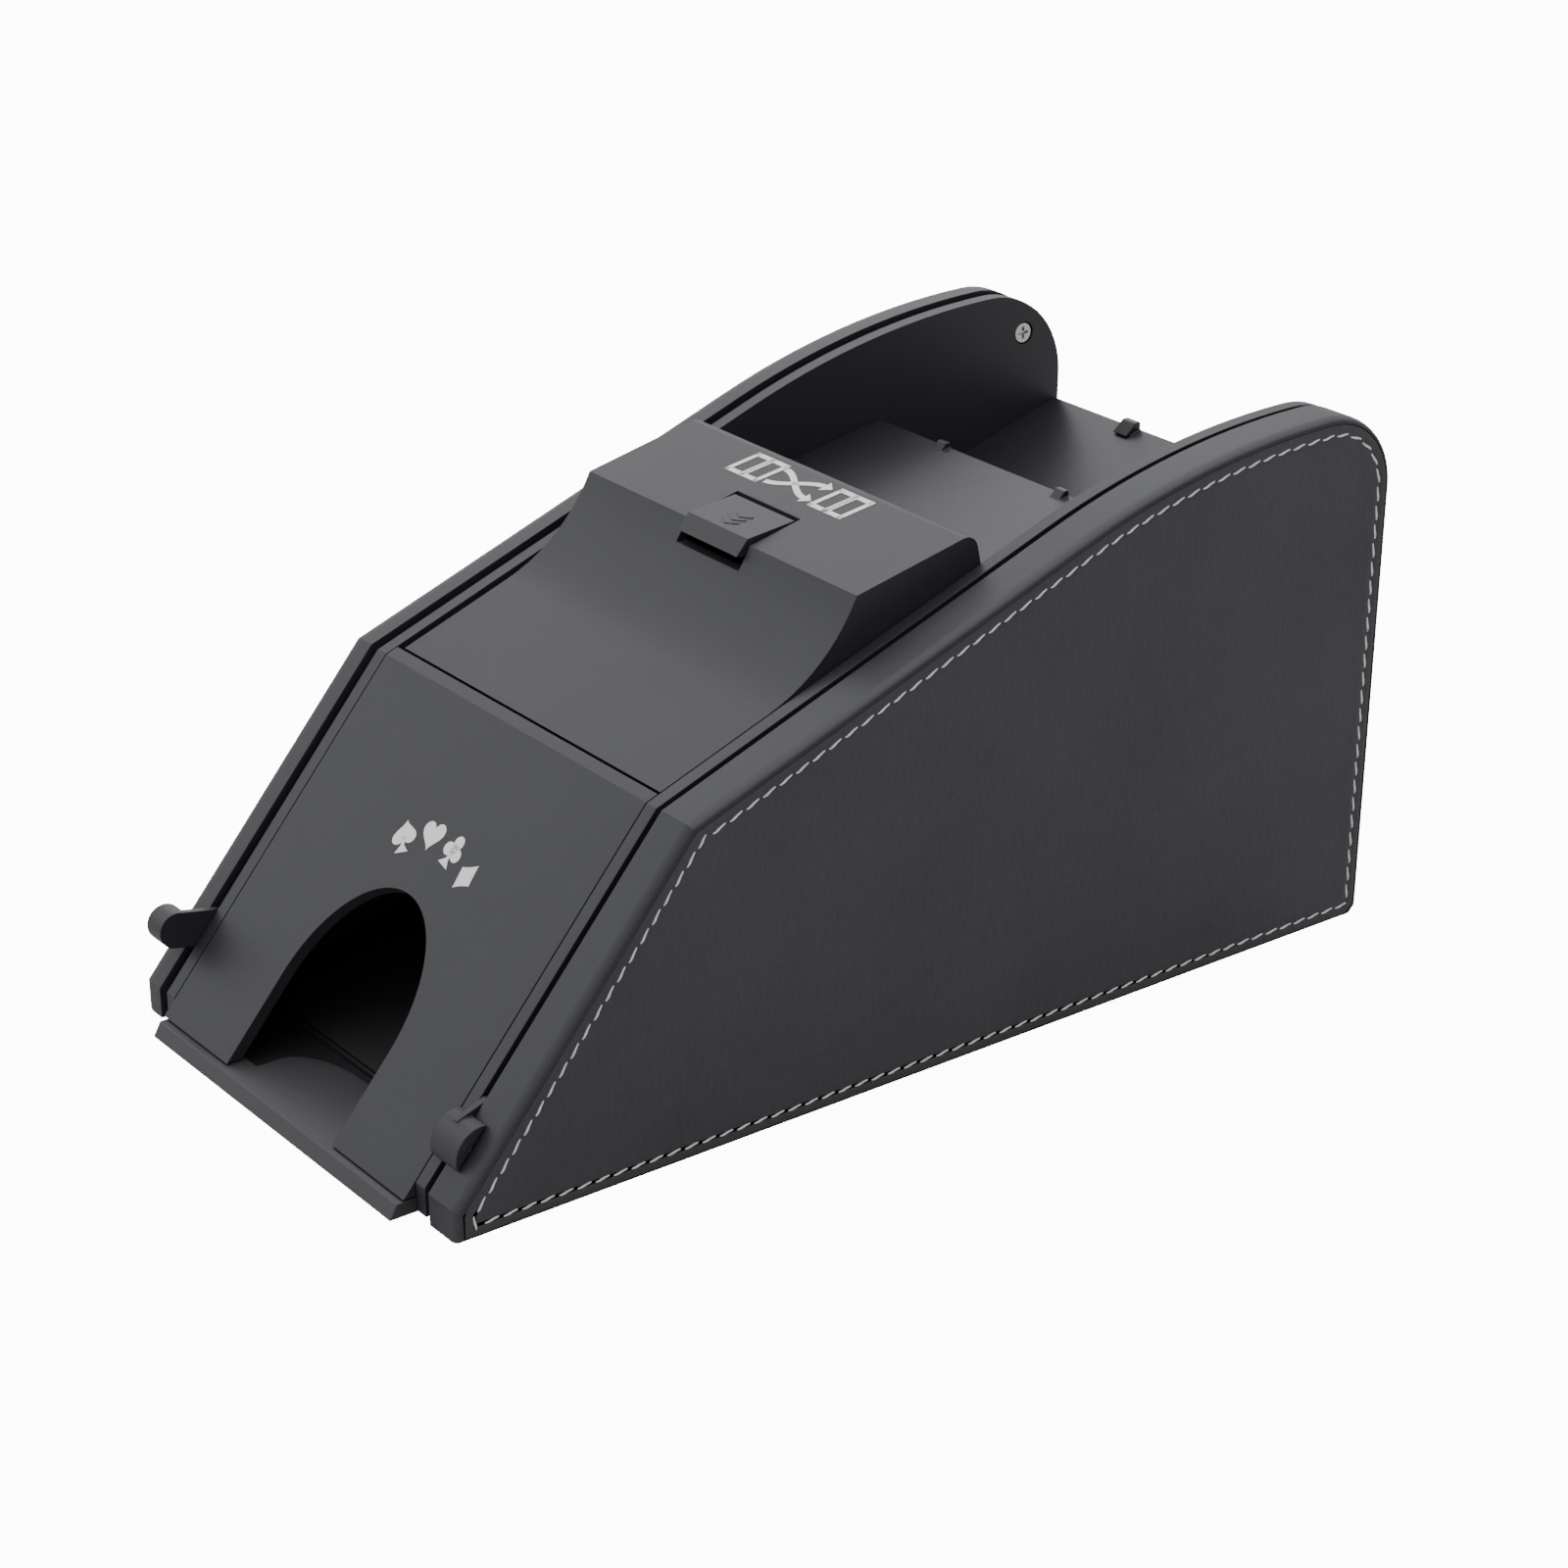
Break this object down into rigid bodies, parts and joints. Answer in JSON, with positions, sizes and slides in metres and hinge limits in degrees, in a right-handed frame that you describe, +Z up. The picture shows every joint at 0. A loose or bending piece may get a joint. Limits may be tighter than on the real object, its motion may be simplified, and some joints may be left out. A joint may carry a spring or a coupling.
{
  "type": "card shuffler",
  "caption": "Motorised card shuffler with two stacked card trays under a hood, a sloping dealing shoe with a round thumb opening, and leather side panels.",
  "frame": {"origin": "middle of the base, on the surface that the rubber feet stand on", "axes": "+Z up, +Y from the dealing end towards the card trays, +X towards the side shell that holds the gear train"},
  "size_m": [0.12, 0.2402, 0.12],
  "materials": {
    "shell_plastic": "satin charcoal moulding with a fine texture",
    "inner_plastic": "plain black moulding",
    "leather": "charcoal leather with a fine grain",
    "steel": "bright nickel plate",
    "rubber": "soft black rubber",
    "gear_plastic": "natural white gear plastic",
    "brass": "turned brass",
    "cell_jacket": "plain printed film without lettering",
    "board": "green circuit board lacquer"
  },
  "bodies": {
    "frame": {"left_shell": "shell_plastic", "right_shell": "shell_plastic", "left_leather": "leather", "right_leather": "leather", "left_wall": "shell_plastic", "right_wall": "shell_plastic", "base_plate": "inner_plastic", "rear_panel": "shell_plastic", "deal_lip": "shell_plastic", "shoe_floor": "inner_plastic", "middle_cover": "shell_plastic", "button_pin": "steel", "micro_switch": "inner_plastic", "upper_tray": "shell_plastic", "lower_tray": "shell_plastic", "upper_gate": "inner_plastic", "lower_gate": "inner_plastic", "gear_posts": "steel", "motor": "steel", "battery_box": "inner_plastic", "battery_contacts": "steel", "cell_1": "cell_jacket", "cell_2": "cell_jacket", "cell_3": "cell_jacket", "cell_4": "cell_jacket", "circuit_board": "board", "lever_pins": "steel", "left_screws": "steel", "right_screws": "steel", "foot_front_left": "rubber", "foot_front_right": "rubber", "foot_rear_left": "rubber", "foot_rear_right": "rubber"},
    "front_cover": {"front_cover": "shell_plastic"},
    "shuffle_button": {"shuffle_button": "shell_plastic"},
    "left_lever": {"left_lever": "shell_plastic"},
    "right_lever": {"right_lever": "shell_plastic"},
    "upper_roller": {"upper_shaft": "steel", "upper_tyres": "rubber", "upper_gear": "gear_plastic"},
    "lower_roller": {"lower_shaft": "steel", "lower_tyres": "rubber", "lower_gear": "gear_plastic"},
    "idler": {"idler_gear": "gear_plastic"},
    "reduction": {"reduction_gear": "gear_plastic"},
    "motor_rotor": {"motor_rotor": "brass"},
    "battery_door": {"battery_door": "inner_plastic"}
  },
  "joints": [
    {"name": "front_cover_hinge", "type": "hinge", "parent": "frame", "child": "front_cover", "pos_m": [0, -0.06178, 0.06968], "axis": [-1, 0, 0], "range_deg": [0, 110]},
    {"name": "shuffle_button_press", "type": "hinge", "parent": "frame", "child": "shuffle_button", "pos_m": [0, -0.0009, 0.1017], "axis": [1, 0, 0], "range_deg": [0, 8], "stiffness_Nm_per_rad": 0.08, "springref_deg": -2.86},
    {"name": "left_lever_turn", "type": "hinge", "parent": "frame", "child": "left_lever", "pos_m": [0, -0.10221, 0.02212], "axis": [-1, 0, 0], "range_deg": [-10, 46]},
    {"name": "right_lever_turn", "type": "hinge", "parent": "frame", "child": "right_lever", "pos_m": [0, -0.10078, 0.02379], "axis": [-1, 0, 0], "range_deg": [0, 56]},
    {"name": "lower_roller_spin", "type": "hinge", "parent": "frame", "child": "lower_roller", "pos_m": [0, 0.05779, 0.06787], "axis": [1, 0, 0], "continuous": true},
    {"name": "upper_roller_spin", "type": "hinge", "parent": "frame", "child": "upper_roller", "pos_m": [0, 0.0062, 0.07912], "axis": [1, 0, 0], "continuous": true},
    {"name": "idler_spin", "type": "hinge", "parent": "frame", "child": "idler", "pos_m": [0, 0.03199, 0.07349], "axis": [1, 0, 0], "continuous": true},
    {"name": "reduction_spin", "type": "hinge", "parent": "frame", "child": "reduction", "pos_m": [0, 0.06699, 0.05193], "axis": [1, 0, 0], "continuous": true},
    {"name": "motor_spin", "type": "hinge", "parent": "frame", "child": "motor_rotor", "pos_m": [0, 0.0859, 0.0486], "axis": [1, 0, 0], "continuous": true},
    {"name": "battery_door_slide", "type": "slide", "parent": "frame", "child": "battery_door", "axis": [0, -1, 0], "range_m": [0, 0.008]}
  ],
  "couplings": [
    {"joint": "upper_roller_spin", "follows": "lower_roller_spin", "ratio": 1},
    {"joint": "idler_spin", "follows": "lower_roller_spin", "ratio": -0.83333},
    {"joint": "reduction_spin", "follows": "lower_roller_spin", "ratio": -1.875},
    {"joint": "motor_spin", "follows": "lower_roller_spin", "ratio": 4.5536}
  ]
}
